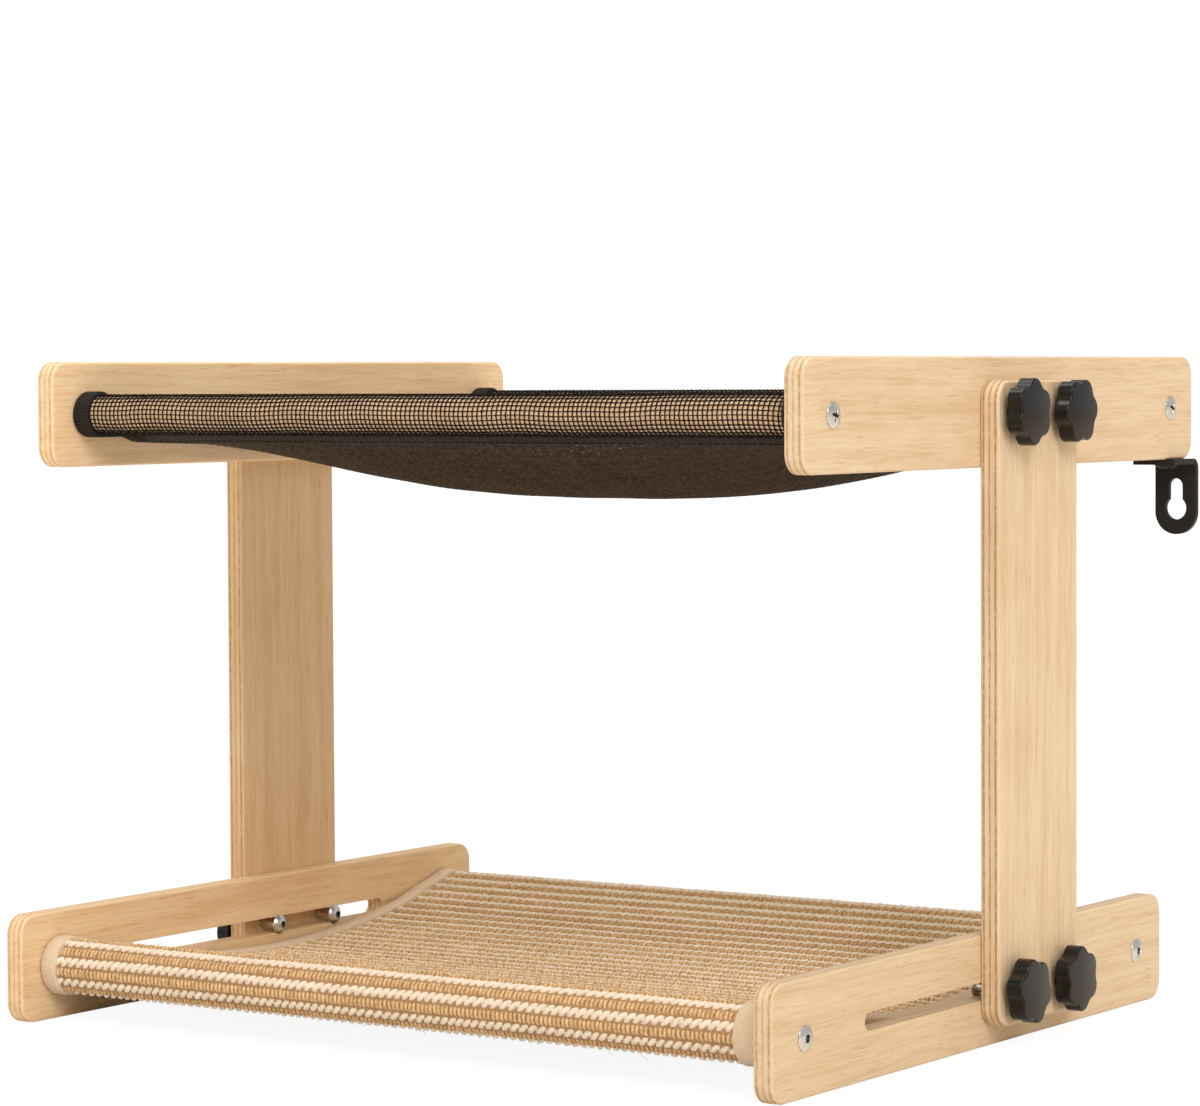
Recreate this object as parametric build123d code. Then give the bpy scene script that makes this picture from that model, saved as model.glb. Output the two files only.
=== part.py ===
"""Two-tier cat hammock for a window sill: a mesh bed over a woven mat, in plywood rails.

Millimetres. X runs across the bed, Y from the front to the wall, Z up.
The origin is on the floor, at the middle of the whole outline.
The lower tier stands on the floor. Posts bolted to the upper rails carry the upper tier,
and the same posts clamp to slots in the lower rails, so the tiers slide past each other.
"""
import os
from math import acos, asin, atan2, cos, degrees, hypot, pi, radians, sin, sqrt

from build123d import *

os.makedirs("parts", exist_ok=True)

# Frame
inner_width = 372.0
ply_thickness = 9.0
corner_radius = 8.5
edge_round = 1.2
slide_gap = 0.05

upper_rail_length = 341.0
upper_rail_height = 46.0
lower_rail_length = 333.0
lower_rail_height = 47.0
lower_forward_set = 24.0
tier_rise = 240.5

post_width = 70.0
post_foot_margin = 14.5
post_head_margin = 13.0
post_setback = 176.0

slot_width = 7.6
slot_length = 190.0
slot_setback = 70.0

# Rods that carry the two beds
rod_diameter = 16.0
rod_chamfer = 0.6
upper_rod_inset = 22.5
lower_rod_inset = 24.0
pilot_play = 0.05
pilot_past = 1.0

# Wood screws into the rod ends
screw_head_diameter = 12.0
screw_head_height = 2.9
screw_rim = 0.5
screw_shank_diameter = 4.0
screw_length = 30.0
screw_point = 3.0
screw_play = 0.1
cross_recess_span = 5.6
cross_recess_width = 1.1
cross_recess_depth = 1.6
screw_socket_flats = 4.0

# Button-head bolts through rail and post
bolt_diameter = 5.0
bolt_length = 25.0
bolt_point = 0.8
bolt_spacing = 42.0
bolt_head_diameter = 9.0
bolt_head_height = 2.75
bolt_head_rim = 0.5
bolt_socket_flats = 3.0
bolt_socket_depth = 1.7
bolt_play = 0.25
thread_play = 0.05

# Star knobs
knob_lobes = 6
knob_diameter = 28.0
knob_valley_diameter = 23.6
knob_lobe_radius = 5.2
knob_grip_thickness = 7.5
knob_crown = 0.9
knob_edge_round = 0.9
knob_hub_diameter = 14.0
knob_hub_height = 3.2
knob_insert_diameter = 8.0
knob_insert_length = 8.0
knob_blind_depth = 9.0
knob_turns = {
    "upper_right_front": 27.0, "upper_right_rear": 4.0,
    "lower_right_front": 46.0, "lower_right_rear": 33.0,
    "upper_left_front": 12.0, "upper_left_rear": 52.0,
    "lower_left_front": 21.0, "lower_left_rear": 39.0,
}

# Mesh hammock
mesh_thickness = 0.8
mesh_rod_play = 0.1
mesh_side_gap = 0.4
casing_slope = 20.0
casing_meet = 22.0
casing_reach = 35.0
hammock_edge_sag = 5.0
hammock_middle_sag = 29.0
hammock_tape_width = 8.5
hammock_tape_thickness = 1.2
belly_lap = 1.5
belly_flatness = 3.0
belly_ease = 1.5
belly_stations = 11

# Woven mat
mat_thickness = 3.9
mat_rod_play = 0.1
mat_side_gap = 0.4
mat_low_point = 15.0
mat_tail_meet = 24.0
mat_tail_reach = 40.0
mat_tape_width = 10.0
mat_tape_thickness = 0.9
mat_head_clearance = 0.35
mat_waist_margin = 8.0
mat_waist_taper = 16.0

# Wall bracket
bracket_width = 20.3
bracket_thickness = 2.5
bracket_drop = 34.4
bracket_flange = 25.0
bracket_bend_radius = 2.0
bracket_inset = 2.4
keyhole_circle_diameter = 10.5
keyhole_slot_width = 6.9
keyhole_circle_drop = 22.5
keyhole_slot_rise = 13.5
bracket_screw_diameter = 3.0
bracket_screw_length = 18.0
bracket_screw_head_diameter = 6.4
bracket_screw_head_height = 1.8
bracket_screw_rim = 0.4
bracket_screw_point = 2.0
bracket_screw_setback = 10.5
bracket_screw_spacing = 9.5
bracket_end_land = 0.02

# How far a cutter runs past what it cuts
cut_past = 1.0

# Places worked out from the sizes above
total_depth = lower_forward_set + upper_rail_length
lower_front = -total_depth / 2
upper_front = lower_front + lower_forward_set
upper_rear = upper_front + upper_rail_length
lower_rear = lower_front + lower_rail_length
lower_axis = lower_rail_height / 2
upper_axis = lower_axis + tier_rise

post_length = tier_rise + post_foot_margin + post_head_margin
post_centre_y = upper_front + post_setback
post_centre_z = lower_axis - post_foot_margin + post_length / 2
upper_inner_x = inner_width / 2
lower_inner_x = upper_inner_x - slide_gap
post_inner_x = upper_inner_x + ply_thickness
post_outer_x = post_inner_x + ply_thickness
knob_base_x = post_outer_x + slide_gap

rod_radius = rod_diameter / 2
upper_rod_front = upper_front + upper_rod_inset
upper_rod_rear = upper_rear - upper_rod_inset
lower_rod_front = lower_front + lower_rod_inset
lower_rod_rear = lower_rear - lower_rod_inset
slot_front = lower_front + slot_setback
slot_rear = slot_front + slot_length
bolt_rows = [post_centre_y - bolt_spacing / 2, post_centre_y + bolt_spacing / 2]


def save(node, shape):
    """Label a node, write it and report its solids."""
    shape.label = node
    export_step(shape, f"parts/{node}.step")
    print(f"{node}: {len(shape.solids())} solid(s), {shape.volume:.0f} mm3")


def across(sketch, low_x, high_x):
    """A YZ sketch carried along X from low_x to high_x."""
    return extrude(Plane.YZ.offset(low_x) * sketch, high_x - low_x)


def hole_along_x(y, z, radius, low_x, high_x):
    """A round cutter along X."""
    return across(Pos(y, z) * Circle(radius), low_x, high_x)


def board(length_y, height_z):
    """A plywood board centred on Y and Z, its thickness from X = 0, its arrises rounded."""
    blank = across(RectangleRounded(length_y, height_z, corner_radius), 0, ply_thickness)
    arrises = blank.faces().sort_by(Axis.X)[0].edges() + blank.faces().sort_by(Axis.X)[-1].edges()
    return fillet(arrises, edge_round)


def drilled(blank, holes):
    """A board with round holes, each given as (y, z, radius)."""
    for y, z, radius in holes:
        blank -= hole_along_x(y, z, radius, -cut_past, ply_thickness + cut_past)
    return blank


def both_sides(right_shape):
    """A right-hand piece and its mirror image on the left."""
    return {"right": right_shape, "left": mirror(right_shape, Plane.YZ)}


# Rails and posts
screw_hole_radius = screw_shank_diameter / 2 + screw_play
bolt_hole_radius = bolt_diameter / 2 + bolt_play
bracket_screw_rows = [upper_rear - bracket_screw_setback,
                      upper_rear - bracket_screw_setback - bracket_screw_spacing]


def upper_rail():
    """The upper rail on the right: two rod screw holes and two bolt holes."""
    middle = (upper_front + upper_rear) / 2
    holes = [(rod - middle, 0, screw_hole_radius) for rod in (upper_rod_front, upper_rod_rear)]
    holes += [(row - middle, 0, bolt_hole_radius) for row in bolt_rows]
    blank = drilled(board(upper_rail_length, upper_rail_height), holes)
    return Pos(upper_inner_x, middle, upper_axis) * blank


def lower_rail():
    """The lower rail on the right: two rod screw holes and the long slot."""
    middle = (lower_front + lower_rear) / 2
    holes = [(rod - middle, 0, screw_hole_radius) for rod in (lower_rod_front, lower_rod_rear)]
    blank = drilled(board(lower_rail_length, lower_rail_height), holes)
    slot = Pos((slot_front + slot_rear) / 2 - middle, 0) * SlotOverall(slot_length, slot_width)
    blank -= across(slot, -cut_past, ply_thickness + cut_past)
    return Pos(lower_inner_x, middle, lower_axis) * blank


def post():
    """The post on the right: two bolt holes at each end."""
    rows = [row - post_centre_y for row in bolt_rows]
    levels = [lower_axis - post_centre_z, upper_axis - post_centre_z]
    holes = [(row, level, bolt_hole_radius) for row in rows for level in levels]
    blank = drilled(board(post_width, post_length), holes)
    return Pos(post_inner_x, post_centre_y, post_centre_z) * blank


def rod(y, z, half_length):
    """A round rod with a pilot hole for a screw in each end."""
    bar = hole_along_x(y, z, rod_radius, -half_length, half_length)
    pilot_depth = screw_length - ply_thickness + pilot_past
    pilot_radius = screw_shank_diameter / 2 + pilot_play
    for side in (-1, 1):
        ends = sorted([side * half_length, side * (half_length - pilot_depth)])
        bar -= hole_along_x(y, z, pilot_radius, *ends)
    ends = bar.faces().sort_by(Axis.X)
    return chamfer(ends[0].outer_wire().edges() + ends[-1].outer_wire().edges(), rod_chamfer)


# Fasteners, each lying along X with its head towards +X and its seat at X = 0
def domed(head_radius, head_height, rim, shank_radius, length, point):
    """A domed head on a plain shank, turned about X."""
    dome = head_height - rim
    sphere = (head_radius ** 2 + dome ** 2) / (2 * dome)
    half = asin(head_radius / sphere) / 2
    middle = (head_height - sphere + sphere * cos(half), sphere * sin(half))
    outline = Polyline((head_height, 0), (-length, 0), (point - length, shank_radius),
                       (0, shank_radius), (0, head_radius), (rim, head_radius))
    outline += ThreePointArc((rim, head_radius), middle, (head_height, 0))
    return revolve(make_face(outline), Axis.X)


def hex_socket(flats, depth, head_height):
    """The cutter of a hexagon socket in a head."""
    hexagon = RegularPolygon(flats / 2, 6, major_radius=False)
    return across(hexagon, head_height - depth, head_height + cut_past)


def rod_screw(crossed):
    """A truss-head wood screw, with a cross recess or a hexagon socket."""
    screw = domed(screw_head_diameter / 2, screw_head_height, screw_rim,
                  screw_shank_diameter / 2, screw_length, screw_point)
    if crossed:
        cross = Rectangle(cross_recess_span, cross_recess_width)
        cross += Rectangle(cross_recess_width, cross_recess_span)
        floor = screw_head_height - cross_recess_depth
        return screw - across(cross, floor, screw_head_height + cut_past)
    return screw - hex_socket(screw_socket_flats, cross_recess_depth, screw_head_height)


def post_bolt():
    """A button-head bolt; its thread is left plain."""
    bolt = domed(bolt_head_diameter / 2, bolt_head_height, bolt_head_rim,
                 bolt_diameter / 2, bolt_length, bolt_point)
    return bolt - hex_socket(bolt_socket_flats, bolt_socket_depth, bolt_head_height)


def rod_screws(crossed, rows, level, seat_x):
    """Four screws: one at each end of both rods, head outwards."""
    screw = rod_screw(crossed)
    placed = []
    for row in rows:
        placed.append(Pos(seat_x, row, level) * screw)
        placed.append(Pos(-seat_x, row, level) * Rot(0, 0, 180) * screw)
    return Compound(children=placed)


def post_bolts(level, seat_x):
    """Four bolts of one tier, heads inside the rails."""
    bolt = post_bolt()
    placed = []
    for row in bolt_rows:
        placed.append(Pos(seat_x, row, level) * Rot(0, 0, 180) * bolt)
        placed.append(Pos(-seat_x, row, level) * bolt)
    return Compound(children=placed)


# Star knob
def star(tip_radius, valley_radius, lobe_radius):
    """A ring of convex lobes joined by concave arcs that are tangent to them."""
    step = pi / knob_lobes
    lobe_centre = tip_radius - lobe_radius
    reach = lobe_centre * cos(step)
    valley_arc = ((lobe_centre ** 2 + valley_radius ** 2 - 2 * reach * valley_radius - lobe_radius ** 2)
                  / (2 * (lobe_radius + reach - valley_radius)))
    valley_centre = valley_radius + valley_arc
    share = lobe_radius / (lobe_radius + valley_arc)
    join_x = lobe_centre + share * (valley_centre * cos(step) - lobe_centre)
    join_y = share * valley_centre * sin(step)
    join_radius = hypot(join_x, join_y)
    join_angle = atan2(join_y, join_x)
    outline = Curve()
    for lobe in range(knob_lobes):
        aim = 2 * step * lobe
        low = Vector(join_radius, 0).rotate(Axis.Z, degrees(aim - join_angle))
        high = Vector(join_radius, 0).rotate(Axis.Z, degrees(aim + join_angle))
        following = Vector(join_radius, 0).rotate(Axis.Z, degrees(aim + 2 * step - join_angle))
        tip = Vector(tip_radius, 0).rotate(Axis.Z, degrees(aim))
        valley = Vector(valley_radius, 0).rotate(Axis.Z, degrees(aim + step))
        outline += [ThreePointArc(low, tip, high), ThreePointArc(high, valley, following)]
    return make_face(outline)


def knob_grip():
    """The knob's plastic body along +X from the post: hub, crowned star grip, insert bore."""
    front = knob_hub_height + knob_grip_thickness
    tip_radius = knob_diameter / 2
    grip = across(star(tip_radius, knob_valley_diameter / 2, knob_lobe_radius), knob_hub_height, front)
    crown_radius = (tip_radius ** 2 + knob_crown ** 2) / (2 * knob_crown)
    grip &= Pos(front - crown_radius, 0, 0) * Sphere(crown_radius)
    rim = [edge for edge in grip.edges() if edge.center().X > front - knob_crown - knob_edge_round]
    grip = fillet(rim, knob_edge_round)
    hub = hole_along_x(0, 0, knob_hub_diameter / 2, 0, knob_blind_depth)
    body = grip + hub
    body -= hole_along_x(0, 0, knob_insert_diameter / 2, -cut_past, knob_insert_length)
    return body - hole_along_x(0, 0, bolt_diameter / 2 + bolt_play, 0, knob_blind_depth)


def knob_insert():
    """The brass insert that the bolt screws into."""
    sleeve = hole_along_x(0, 0, knob_insert_diameter / 2, 0, knob_insert_length)
    past = knob_insert_length + cut_past
    return sleeve - hole_along_x(0, 0, bolt_diameter / 2 + thread_play, -cut_past, past)


# Wall bracket, under the rear end of the right-hand upper rail
bracket_x = post_inner_x - ply_thickness / 2 - bracket_inset
bracket_top = upper_axis - upper_rail_height / 2
bracket_bottom = bracket_top - bracket_drop
keyhole_z = bracket_top - keyhole_circle_drop


def wall_bracket():
    """A bent steel angle: a flange under the rail, a round-ended leg with a keyhole."""
    half_wall = bracket_thickness / 2
    bend = FilletPolyline(
        (upper_rear - bracket_flange, bracket_top - half_wall),
        (upper_rear - half_wall, bracket_top - half_wall),
        (upper_rear - half_wall, bracket_bottom), radius=bracket_bend_radius + half_wall)
    half = bracket_width / 2
    angle = across(trace(bend, bracket_thickness), bracket_x - half, bracket_x + half)
    angle = fillet(angle.edges().filter_by(Axis.Y).group_by(Axis.Z)[0], half - bracket_end_land / 2)
    keyhole = Pos(bracket_x, keyhole_z) * Circle(keyhole_circle_diameter / 2)
    slot_run = keyhole_slot_rise - keyhole_slot_width / 2
    keyhole += Pos(bracket_x, keyhole_z + slot_run / 2) * SlotCenterToCenter(
        slot_run, keyhole_slot_width, rotation=90)
    angle -= extrude(Plane.XZ.offset(-upper_rear - cut_past) * keyhole, bracket_thickness + 2 * cut_past)
    for row in bracket_screw_rows:
        spot = Pos(bracket_x + bracket_inset, row, bracket_top)
        angle -= spot * Cylinder(bracket_screw_diameter / 2 + screw_play, 4 * bracket_thickness)
    return angle


def bracket_screws():
    """Round-head screws up through the flange into the edge of the rail."""
    screw = domed(bracket_screw_head_diameter / 2, bracket_screw_head_height, bracket_screw_rim,
                  bracket_screw_diameter / 2, bracket_screw_length, bracket_screw_point)
    seat = bracket_top - bracket_thickness
    return Compound(children=[
        Pos(bracket_x + bracket_inset, row, seat) * Rot(0, 90, 0) * screw for row in bracket_screw_rows])


def piloted(rail):
    """The right-hand upper rail with the pilot holes of the bracket screws."""
    depth = bracket_screw_length - bracket_thickness + pilot_past
    pilot = Cylinder(bracket_screw_diameter / 2 + pilot_play, 2 * depth)
    for row in bracket_screw_rows:
        rail -= Pos(bracket_x + bracket_inset, row, bracket_top) * pilot
    return rail


# Mesh hammock: a casing round each rod, stitched to a belly that sags between them
mesh_inner = rod_radius + mesh_rod_play
mesh_middle = (upper_rod_front + upper_rod_rear) / 2
mesh_half_span = (upper_rod_rear - upper_rod_front) / 2
mesh_half_width = upper_inner_x - mesh_side_gap
slope = radians(casing_slope)
belly_end_y = mesh_half_span - (casing_reach - belly_lap) * cos(slope)
belly_end_z = upper_axis - (casing_reach - belly_lap) * sin(slope)


def teardrop(radius, tip, half_tip):
    """A circle and the two tangents that close on a tip at the given distance."""
    lean = acos(radius / hypot(tip, half_tip)) + atan2(half_tip, tip)
    touch = (radius * cos(lean), radius * sin(lean))
    below = (touch[0], -touch[1])
    if half_tip:
        sides = Polyline(touch, (tip, half_tip), (tip, -half_tip), below)
    else:
        sides = Polyline(touch, (tip, 0), below)
    return make_face(sides + ThreePointArc(below, (-radius, 0), touch))


def both_rods(sketch):
    """A casing sketch drawn about the origin, set at both rods and sloping to the middle."""
    front = Pos(-mesh_half_span, upper_axis) * Rot(0, 0, -casing_slope) * sketch
    return front + mirror(front, Plane.YZ)


def casings(wall):
    """Both casings with walls of the given thickness, not yet hollow."""
    wedge = asin(mesh_inner / casing_meet)
    tip = casing_meet + wall * (1 - cos(wedge)) / sin(wedge)
    outline = teardrop(mesh_inner + wall, tip, wall)
    band = casing_reach - tip
    outline += Pos(tip + band / 2, 0) * Rectangle(band, 2 * wall)
    return both_rods(outline)


def belly_strip(sag, thickness):
    """A lengthwise section of the belly: two arcs a fabric's thickness apart."""
    half = thickness / 2
    top = ThreePointArc((-belly_end_y, belly_end_z + half), (0, belly_end_z - sag + half),
                        (belly_end_y, belly_end_z + half))
    bottom = ThreePointArc((belly_end_y, belly_end_z - half), (0, belly_end_z - sag - half),
                           (-belly_end_y, belly_end_z - half))
    return make_face(top + Line(top @ 1, bottom @ 0) + bottom + Line(bottom @ 1, top @ 0))


def belly_sag(share):
    """Sag at a share of the half width: flat in the middle, easing out at the edges."""
    return hammock_edge_sag + (hammock_middle_sag - hammock_edge_sag) * (
        1 - abs(share) ** belly_flatness) ** belly_ease


def mesh_hammock():
    """The mesh in one piece, short of its edge tapes' folds."""
    edge = mesh_half_width - hammock_tape_thickness
    flat_from = mesh_half_width - hammock_tape_width
    seat = Pos(mesh_middle, 0)
    sleeve = casings(mesh_thickness) - both_rods(teardrop(mesh_inner, casing_meet, 0))
    fabric = across(seat * sleeve, -edge, edge)
    sections = []
    for station in range(belly_stations):
        share = 2 * station / (belly_stations - 1) - 1
        strip = seat * belly_strip(belly_sag(share), mesh_thickness)
        sections.append(Plane.YZ.offset(share * flat_from) * strip)
    fabric += loft(sections)
    side = seat * belly_strip(hammock_edge_sag, mesh_thickness)
    fabric += across(side, flat_from, edge)
    fabric += across(side, -edge, -flat_from)
    return fabric


def hammock_tape():
    """The binding on the right-hand edge: both faces, the fold, and round the casings."""
    seat = Pos(mesh_middle, 0)
    wall = mesh_thickness + hammock_tape_thickness
    core = casings(mesh_thickness) + belly_strip(hammock_edge_sag, mesh_thickness)
    cover = casings(wall) + belly_strip(hammock_edge_sag, mesh_thickness + 2 * hammock_tape_thickness)
    cover -= both_rods(Circle(mesh_inner))
    tape = across(seat * cover, mesh_half_width - hammock_tape_width, mesh_half_width)
    return tape - across(seat * core, 0, mesh_half_width - hammock_tape_thickness)


# Woven mat: wrapped over both rods, sagging between them, its tails lapped underneath
mat_inner = rod_radius + mat_rod_play
mat_outer = mat_inner + mat_thickness
mat_middle = (lower_rod_front + lower_rod_rear) / 2
mat_half_span = (lower_rod_rear - lower_rod_front) / 2
mat_dip = lower_axis - mat_low_point
mat_rise = (mat_half_span ** 2 - (mat_dip + mat_outer) ** 2) / (2 * (mat_dip + mat_outer))
mat_top_radius = mat_rise + mat_dip
mat_arc_z = lower_axis + mat_rise
mat_link = hypot(mat_half_span, mat_rise)
mat_half_width = lower_inner_x - mat_side_gap
bolt_head_tip_x = lower_inner_x - slide_gap - bolt_head_height
mat_waist = bolt_head_tip_x - mat_head_clearance


def ring_point(radius):
    """Where a circle round the front rod meets the sagging arc tangent to it."""
    return (-mat_half_span + radius * mat_half_span / mat_link, lower_axis + radius * mat_rise / mat_link)


def underside(y, grow):
    """A point of the sagging underside at a distance from the mat's middle."""
    radius = mat_top_radius + mat_thickness + grow
    return (y, mat_arc_z - sqrt(radius ** 2 - y ** 2))


def tangent_below(point, radius):
    """Where the lower tangent from a point touches a circle round the front rod."""
    along, above = point[0] + mat_half_span, point[1] - lower_axis
    lean = atan2(above, along) - acos(radius / hypot(along, above))
    return (-mat_half_span + radius * cos(lean), lower_axis + radius * sin(lean))


def flipped(point):
    """The same point at the rear rod."""
    return (-point[0], point[1])


def mat_outline(grow):
    """The mat's section with solid rolls, its faces moved out by an amount."""
    radius = mat_outer + grow
    top = ring_point(radius)
    lap = underside(mat_tail_reach - mat_half_span, grow)
    touch = tangent_below(lap, radius)
    back = (-mat_half_span - radius, lower_axis)
    return make_face(Curve() + [
        ThreePointArc(top, (0, mat_arc_z - mat_top_radius + grow), flipped(top)),
        ThreePointArc(flipped(top), flipped(back), flipped(touch)),
        Line(flipped(touch), flipped(lap)),
        ThreePointArc(flipped(lap), underside(0, grow), lap),
        Line(lap, touch),
        ThreePointArc(touch, back, top),
    ])


def mat_hollows():
    """The two hollows round the rods, each running to where the tail meets the mat."""
    top = ring_point(mat_inner)
    meet = underside(mat_tail_meet - mat_half_span, 0)
    between = underside((top[0] + meet[0]) / 2, 0)
    touch = tangent_below(meet, mat_inner)
    hollow = make_face(Curve() + [
        ThreePointArc(top, between, meet),
        Line(meet, touch),
        ThreePointArc(touch, (-mat_half_span - mat_inner, lower_axis), top),
    ])
    return hollow + mirror(hollow, Plane.YZ)


def mat_plan(inset):
    """The mat's plan, as a tall block: drawn in along the slots so that bolt heads pass."""
    wide = mat_half_width - inset
    narrow = mat_waist - inset
    start, stop = slot_front - mat_waist_margin, slot_rear + mat_waist_margin
    edge = [(wide, lower_front), (wide, start - mat_waist_taper), (narrow, start),
            (narrow, stop), (wide, stop + mat_waist_taper), (wide, lower_rear)]
    far_edge = [(-x, y) for x, y in reversed(edge)]
    return extrude(make_face(Polyline(*edge, *far_edge, close=True)), lower_rail_height)


def sisal_mat():
    """The woven mat in one piece, short of its edge tapes' folds."""
    section = Pos(mat_middle, 0) * (mat_outline(0) - mat_hollows())
    return across(section, -mat_half_width, mat_half_width) & mat_plan(mat_tape_thickness)


def mat_tape():
    """The binding on the right-hand edge of the mat, with its fold and both rolls."""
    rods = Pos(-mat_half_span, lower_axis) * Circle(mat_inner)
    rods += Pos(mat_half_span, lower_axis) * Circle(mat_inner)
    cover = Pos(mat_middle, 0) * (mat_outline(mat_tape_thickness) - rods)
    core = Pos(mat_middle, 0) * mat_outline(0)
    band = mat_plan(0) - mat_plan(mat_tape_width)
    tape = across(cover, 0, mat_half_width) & band
    return tape - (across(core, 0, mat_half_width) & mat_plan(mat_tape_thickness))


# Write every node
for side, shape in both_sides(lower_rail()).items():
    save(f"lower_rail_{side}", shape)
save("lower_front_rod", rod(lower_rod_front, lower_axis, lower_inner_x))
save("lower_rear_rod", rod(lower_rod_rear, lower_axis, lower_inner_x))
save("lower_rod_screws", rod_screws(False, [lower_rod_front, lower_rod_rear], lower_axis,
                                    lower_inner_x + ply_thickness))
save("sisal_mat", sisal_mat())
for side, shape in both_sides(mat_tape()).items():
    save(f"mat_edge_tape_{side}", shape)

upper_rails = both_sides(upper_rail())
save("upper_rail_right", piloted(upper_rails["right"]))
save("upper_rail_left", upper_rails["left"])
for side, shape in both_sides(post()).items():
    save(f"post_{side}", shape)
save("upper_front_rod", rod(upper_rod_front, upper_axis, upper_inner_x))
save("upper_rear_rod", rod(upper_rod_rear, upper_axis, upper_inner_x))
save("upper_rod_screws", rod_screws(True, [upper_rod_front, upper_rod_rear], upper_axis, post_inner_x))
save("upper_post_bolts", post_bolts(upper_axis, upper_inner_x))
save("lower_post_bolts", post_bolts(lower_axis, lower_inner_x - slide_gap))
save("mesh_hammock", mesh_hammock())
for side, shape in both_sides(hammock_tape()).items():
    save(f"hammock_edge_tape_{side}", shape)
save("wall_bracket", wall_bracket())
save("bracket_screws", bracket_screws())

grip = knob_grip()
insert = knob_insert()
knob_levels = {"upper": upper_axis, "lower": lower_axis}
knob_rows = dict(zip(("front", "rear"), bolt_rows))
facing = {"right": Rot(0, 0, 0), "left": Rot(0, 0, 180)}
for name, turn in knob_turns.items():
    tier, side, row = name.split("_")
    place = Pos(0, knob_rows[row], knob_levels[tier]) * facing[side] * Pos(knob_base_x, 0, 0)
    save(f"knob_{name}", place * Rot(turn, 0, 0) * grip)
    save(f"insert_{name}", place * Rot(turn, 0, 0) * insert)
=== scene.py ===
import bpy
import numpy as np
from math import acos, asin, atan2, cos, hypot, pi, radians, sin, sqrt
from mathutils import Matrix, Vector


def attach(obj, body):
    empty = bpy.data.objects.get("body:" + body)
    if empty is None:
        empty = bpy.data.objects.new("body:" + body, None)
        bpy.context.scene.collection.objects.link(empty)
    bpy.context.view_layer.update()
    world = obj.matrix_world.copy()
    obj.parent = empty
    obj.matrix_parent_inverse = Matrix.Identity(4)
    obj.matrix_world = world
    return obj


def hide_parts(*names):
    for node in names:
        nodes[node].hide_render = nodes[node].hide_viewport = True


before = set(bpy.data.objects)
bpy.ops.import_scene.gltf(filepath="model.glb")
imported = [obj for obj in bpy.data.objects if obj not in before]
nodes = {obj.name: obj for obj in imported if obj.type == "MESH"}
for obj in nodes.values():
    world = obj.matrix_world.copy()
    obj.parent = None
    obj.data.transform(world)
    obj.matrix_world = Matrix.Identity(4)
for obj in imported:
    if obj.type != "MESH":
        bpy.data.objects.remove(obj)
bpy.context.view_layer.update()
scene = bpy.context.scene
print("frame loaded", len(nodes))

# Places in the frame, in millimetres: the rails' centre heights, the rows of screws and bolts
# along Y, the boards' inner faces, and the faces that screw and bolt heads lie on.
milli = 0.001
upperAxis = 264.0
lowerAxis = 23.5
upperRodRows = (-136.0, 160.0)
lowerRodRows = (-158.5, 126.5)
boltRows = (-3.5, 38.5)
upperRailInner = 186.0
lowerRailInner = 185.95
postInner = 195.0
upperScrewSeat = 195.0
lowerScrewSeat = 194.95
upperBoltSeat = 186.0
lowerBoltSeat = 185.9


# Shading: one class wraps a socket, and its arithmetic adds Math nodes.
class Shade:
    def __init__(self, tree, socket=None):
        self.tree = tree
        self.socket = socket

    def node(self, kind, settings, inputs, output=0):
        made = self.tree.nodes.new("ShaderNode" + kind)
        for key, value in settings.items():
            setattr(made, key, value)
        for key, value in inputs.items():
            if isinstance(value, Shade):
                self.tree.links.new(value.socket, made.inputs[key])
            else:
                made.inputs[key].default_value = value
        return Shade(self.tree, made.outputs[output])

    def math(self, operation, first, second=0.0, third=0.0):
        return self.node("Math", {"operation": operation}, {0: first, 1: second, 2: third})

    def __add__(self, other):
        return self.math("ADD", self, other)

    def __sub__(self, other):
        return self.math("SUBTRACT", self, other)

    def __rsub__(self, other):
        return self.math("SUBTRACT", other, self)

    def __mul__(self, other):
        return self.math("MULTIPLY", self, other)

    def __truediv__(self, other):
        return self.math("DIVIDE", self, other)

    __radd__ = __add__
    __rmul__ = __mul__

    def ramp(self, low, high, start=0.0, stop=1.0):
        values = {0: self, 1: low, 2: high, 3: start, 4: stop}
        return self.node("MapRange", {"interpolation_type": "SMOOTHSTEP"}, values)

    def mix(self, factor, first, second):
        values = {0: factor, 6: first, 7: second}
        return self.node("Mix", {"data_type": "RGBA"}, values, output=2)

    # Noise with so many cells a metre, one number or a list of one for each axis.
    def noise(self, vector, cells, detail=2.0, roughness=0.5):
        factors = cells if isinstance(cells, list) else [cells] * 3
        spread = self.node("VectorMath", {"operation": "MULTIPLY"}, {0: vector, 1: factors})
        values = {"Vector": spread, "Scale": 1.0, "Detail": detail, "Roughness": roughness}
        return self.node("TexNoise", {}, values)

    def bump(self, height, distance, strength=1.0):
        values = {"Height": height, "Distance": distance, "Strength": strength}
        return self.node("Bump", {}, values)


def rgb(red, green, blue):
    return (red, green, blue, 1.0)


# A material with one Principled shader: plain values and links go to it by socket name.
def material(name, build):
    made = bpy.data.materials.new(name)
    made.use_nodes = True
    tree = made.node_tree
    shader = tree.nodes["Principled BSDF"]
    for key, value in build(Shade(tree)).items():
        if isinstance(value, Shade):
            tree.links.new(value.socket, shader.inputs[key])
        else:
            shader.inputs[key].default_value = value
    return made


def position(shade):
    return shade.node("TexCoord", {}, {}, output="Object")


def parts(shade, vector):
    split = shade.node("SeparateXYZ", {}, {0: vector})
    sockets = split.socket.node.outputs
    return [Shade(shade.tree, sockets[axis]) for axis in range(3)]


# Cells for noise that is fine across the grain and long along it.
def grained(across, along, grainAxis):
    cells = [across] * 3
    cells[grainAxis] = along
    return cells


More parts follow.
